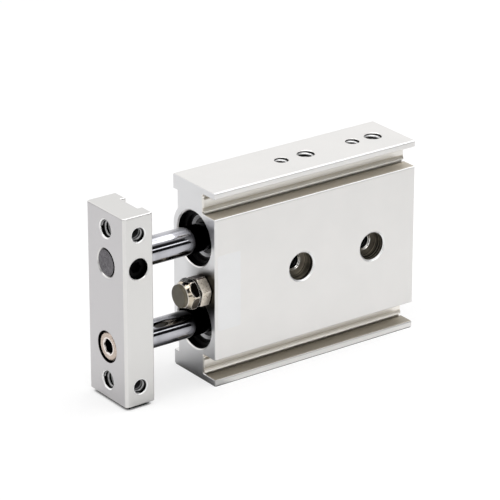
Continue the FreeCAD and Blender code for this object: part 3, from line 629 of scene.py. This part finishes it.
tappedHoles = {
    "topMountThread": {"places": patternPlaces("top_threads"), "inward": (0, 0, -1), "radius": m4Radius,
                       "depth": 6.0, "start": 198, "body": "cylinder_body", "material": threadWideHighlight},
    "bottomMountThread": {"places": patternPlaces("bottom_threads"), "inward": (0, 0, 1), "radius": m4Radius,
                          "depth": 6.0, "start": 0, "body": "cylinder_body", "material": threadWideHighlight},
    "portThread": {"places": portPlaces, "inward": (0, 0, -1), "radius": m5Radius,
                   "depth": 6.0, "start": 198, "body": "cylinder_body", "material": threadWideHighlight},
    "plateFrontThread": {"places": frontPlaces, "inward": (-1, 0, 0), "radius": m5Radius,
                         "depth": 8.0, "start": 0, "body": "sliding_plate", "material": threadNarrowHighlight},
    "plateSideThread": {"places": sidePlaces, "inward": (0, -1, 0), "radius": m4Radius,
                        "depth": 5.4, "start": 0, "body": "sliding_plate", "material": threadNarrowHighlight},
}
for name, hole in tappedHoles.items():
    for number, place in enumerate(hole["places"], 1):
        tappedRidge(f"{name}.{number}", place, hole)
print("threads:", sum(len(hole["places"]) for hole in tappedHoles.values()))


# Blank label on the near face: a thin film of white vinyl with rounded corners, an even off-white and smooth
labelLook = {"x": (26.3, 34.05), "z": (16.8, 39.2), "corner": 0.6, "roundSteps": 6,
             "thickness": 0.05, "sunk": 0.02, "rim": 0.4}   # rim is the rounded share of the thickness
labelMaterial = plainFinish("whiteVinylFilm", {
    "dark": "#e3e3e3", "light": "#e8e8e8", "metal": 0.0, "rough": (0.34, 0.44),
    "patch": 6.0, "grain": 0.6, "height": 0.001})


# Film: its outline is four quarter circles about the inset corners, its rows are back, rim and front.
def blankLabel():
    look = labelLook
    middle = np.array([sum(look["x"]), sum(look["z"])]) / 2
    half = np.array([look["x"][1] - look["x"][0], look["z"][1] - look["z"][0]]) / 2
    angle = np.linspace(0, np.pi / 2, look["roundSteps"])
    turn = (angle[None, :] + np.arange(4)[:, None] * np.pi / 2).ravel()
    arm = np.stack([np.cos(turn), np.sin(turn)], axis=1)
    quarter = np.repeat(np.array([[1, 1], [-1, 1], [-1, -1], [1, -1]]), look["roundSteps"], axis=0)
    outline = middle + quarter * (half - look["corner"]) + arm * look["corner"]
    levels = (-look["sunk"], look["thickness"] * (1 - look["rim"]), look["thickness"])
    insets = (0.0, 0.0, look["thickness"] * look["rim"])
    rows = []
    for level, inset in zip(levels, insets):
        flat = outline - arm * inset
        rows.append(np.column_stack([flat[:, 0], np.full(len(arm), housingHigh.y + level), flat[:, 1]]))
    across = np.linspace(0, 1, len(outline))
    grid = np.stack(rows)
    return sweptMesh("blankLabel", grid, across, labelMaterial, "cylinder_body")


blankLabel()
print("label done")

# Studio: pale floor, white surround, two soft boxes overhead, a strip beside the camera and a key lamp
studio = {
    "floorSize": 6000, "floorColour": "#eeeeee", "floorSeen": "#aaaaaa", "floorLift": 0.62,
    # the contact lines paint a shadow at the part's foot; the shade lines paint shade that mirrors see on the
    # floor
    "contactReach": 2.2, "contactSpan": (0.25, 0.5), "contactColour": "#000000",
    "shadeReach": 25.0, "shadeSpan": (0.3, 0.85), "shade": "#303030",
    "shadeFrom": (36, 28), "shadeTo": (54, 62),
    "ambient": 0.55, "ambientLean": (-0.1, 0.4, 0), "ambientColour": "#ffffff",
    "tent": "#ffffff", "room": "#202022",
    # spans along X, Y or Z of a direction, over which the darker room beyond the tent comes in
    "roomSpans": {"near": (1, (0.05, 0.25)), "below": (2, (0.82, 0.62)), "rear": (0, (-0.15, -0.35)),
                  "front": (0, (0.2, 0.4)), "towards": (1, (-0.35, -0.1)), "high": (2, (0.4, 0.5)),
                  "level": (2, (0.2, 0.1))},
    "boxHeight": 600, "boxes": [{"x": -50, "y": 84, "long": 1300, "wide": 230, "radiance": 2.0},
                                {"x": -50, "y": -195, "long": 1300, "wide": 250, "radiance": 1.5}],
    "strip": {"place": (-400, 606, 318), "long": 600, "wide": 85, "radiance": 1.9},
    "key": {"place": (270, 560, 650), "long": 260, "wide": 260, "radiance": 2.0},
    "aimHeight": 30,
}


# White sheet. The camera sees it lifted to white, with the soft shadow and a painted dark line at the part's
# foot.
# Mirrors see painted shade on it in the gap between housing and plate, from shadeFrom to shadeTo along X.
def addFloor():
    side = studio["floorSize"] / 2 * mm
    mesh = bpy.data.meshes.new("floor")
    corners = [(-side, -side, 0), (side, -side, 0), (side, side, 0), (-side, side, 0)]
    mesh.from_pydata(corners, [], [(0, 1, 2, 3)])
    material, tree = emptyMaterial("paleFloor")
    rays = addNode(tree, "LightPath").outputs
    contactReach, shadeReach = studio["contactReach"] * mm, studio["shadeReach"] * mm
    contact = addNode(tree, "AmbientOcclusion", {"Distance": contactReach}, samples=shadeSamples)
    clear = addNode(tree, "MapRange", {"Value": contact.outputs["AO"], **fromSpan(studio["contactSpan"])})
    seen = addNode(tree, "Mix", {0: clear, 6: studio["contactColour"], 7: studio["floorSeen"]},
                   data_type="RGBA")
    near = addNode(tree, "AmbientOcclusion", {"Distance": shadeReach}, samples=shadeSamples)
    airy = addNode(tree, "MapRange", {"Value": near.outputs["AO"], **fromSpan(studio["shadeSpan"])})
    alongFloor = addNode(tree, "SeparateXYZ", {0: pointInMm(tree)}).outputs[0]
    for span in (studio["shadeFrom"], studio["shadeTo"]):
        outside = addNode(tree, "MapRange", {"Value": alongFloor, **fromSpan(span)})
        airy = addNode(tree, "Math", {0: airy, 1: outside}, operation="MAXIMUM")
    mirrored = addNode(tree, "Mix", {0: airy, 6: studio["shade"], 7: studio["floorColour"]}, data_type="RGBA")
    paper = addNode(tree, "Mix", {0: rays["Is Glossy Ray"], 6: studio["floorColour"], 7: mirrored},
                    data_type="RGBA")
    paper = addNode(tree, "Mix", {0: rays["Is Camera Ray"], 6: paper, 7: seen}, data_type="RGBA")
    matt = addNode(tree, "BsdfDiffuse", {"Color": paper})
    lift = addNode(tree, "Math", {0: rays["Is Camera Ray"], 1: clear}, operation="MULTIPLY")
    lift = addNode(tree, "Math", {0: lift, 1: studio["floorLift"]}, operation="MULTIPLY")
    glow = addNode(tree, "Emission", {"Strength": lift})
    addNode(tree, "OutputMaterial", {"Surface": addNode(tree, "AddShader", {0: matt, 1: glow})})
    mesh.materials.append(material)
    floor = bpy.data.objects.new("floor", mesh)
    bpy.context.scene.collection.objects.link(floor)


# White surround for what the camera sees. Mirrors also see the darker room: on the camera's side of the tent,
# below the boxes and towards the rear, and in front of the plate. Diffuse light from all round is the ambient
# value, more of it from the side that ambientLean points to.
def addSurround():
    world = bpy.data.worlds.new("whiteTent")
    world.use_nodes = True
    tree = world.node_tree
    tree.nodes.clear()
    rays = addNode(tree, "LightPath").outputs
    direction = addNode(tree, "TexCoord").outputs["Generated"]
    parts = addNode(tree, "SeparateXYZ", {0: direction})
    share = {}
    for name, (axis, span) in studio["roomSpans"].items():
        share[name] = addNode(tree, "MapRange", {"Value": parts.outputs[axis], **fromSpan(span)},
                              interpolation_type="SMOOTHSTEP")
    nearDark = addNode(tree, "Math", {0: share["near"], 1: share["below"]}, operation="MULTIPLY")
    nearDark = addNode(tree, "Math", {0: nearDark, 1: share["rear"]}, operation="MULTIPLY")
    reach = addNode(tree, "Math", {0: share["towards"], 1: share["high"]}, operation="MULTIPLY")
    reach = addNode(tree, "Math", {0: reach, 1: share["level"]}, operation="MAXIMUM")
    frontDark = addNode(tree, "Math", {0: share["front"], 1: reach}, operation="MULTIPLY")
    dark = addNode(tree, "Math", {0: nearDark, 1: frontDark}, operation="MAXIMUM")
    mirrored = addNode(tree, "Math", {0: dark, 1: rays["Is Glossy Ray"]}, operation="MULTIPLY")
    seen = addNode(tree, "Mix", {0: mirrored, 6: studio["tent"], 7: studio["room"]}, data_type="RGBA")
    seenBack = addNode(tree, "Background", {"Color": seen})
    lean = addNode(tree, "VectorMath", {0: direction, 1: studio["ambientLean"]}, operation="DOT_PRODUCT")
    fill = addNode(tree, "Math", {0: lean, 1: studio["ambient"]}, operation="ADD")
    ambient = addNode(tree, "Background", {"Color": studio["ambientColour"], "Strength": fill})
    direct = addNode(tree, "Math", {0: rays["Is Camera Ray"], 1: rays["Is Glossy Ray"]}, operation="MAXIMUM")
    direct = addNode(tree, "Math", {0: direct, 1: rays["Is Transmission Ray"]}, operation="MAXIMUM")
    mix = addNode(tree, "MixShader", {0: direct, 1: ambient, 2: seenBack})
    addNode(tree, "OutputWorld", {"Surface": mix})
    bpy.context.scene.world = world


# an object at a place in mm that looks at a target
def addLooking(name, data, place, target):
    holder = bpy.data.objects.new(name, data)
    holder.location = Vector(place) * mm
    holder.rotation_euler = (Vector(target) - Vector(place)).to_track_quat("-Z", "Y").to_euler()
    bpy.context.scene.collection.objects.link(holder)
    return holder


# a rectangular lamp of the given radiance: its power is radiance times area times pi
def addLamp(name, place, target, look):
    lamp = bpy.data.lights.new(name, "AREA")
    lamp.shape = "RECTANGLE"
    lamp.size, lamp.size_y = look["long"] * mm, look["wide"] * mm
    lamp.energy = look["radiance"] * lamp.size * lamp.size_y * math.pi
    addLooking(name, lamp, place, target)


addFloor()
addSurround()
for number, box in enumerate(studio["boxes"], 1):
    above = (box["x"], box["y"], studio["boxHeight"])
    addLamp(f"softBox.{number}", above, (box["x"], box["y"], 0), box)
for name in ("strip", "key"):
    place = studio[name]["place"]
    addLamp(name, place, (place[0], 0, studio["aimHeight"]), studio[name])

# Camera at the photograph's place: long lens, level horizon
photoView = {"place": (497.3, 663.5, 377.4), "target": (10.27, -7.66, 29.40), "lens": 228.1, "sensor": 36.0}
camera = bpy.data.cameras.new("photoView")
camera.lens = photoView["lens"]
camera.sensor_width = photoView["sensor"]
bpy.context.scene.camera = addLooking("photoView", camera, photoView["place"], photoView["target"])
bpy.context.scene.view_settings.view_transform = "Standard"
print("studio and camera done")
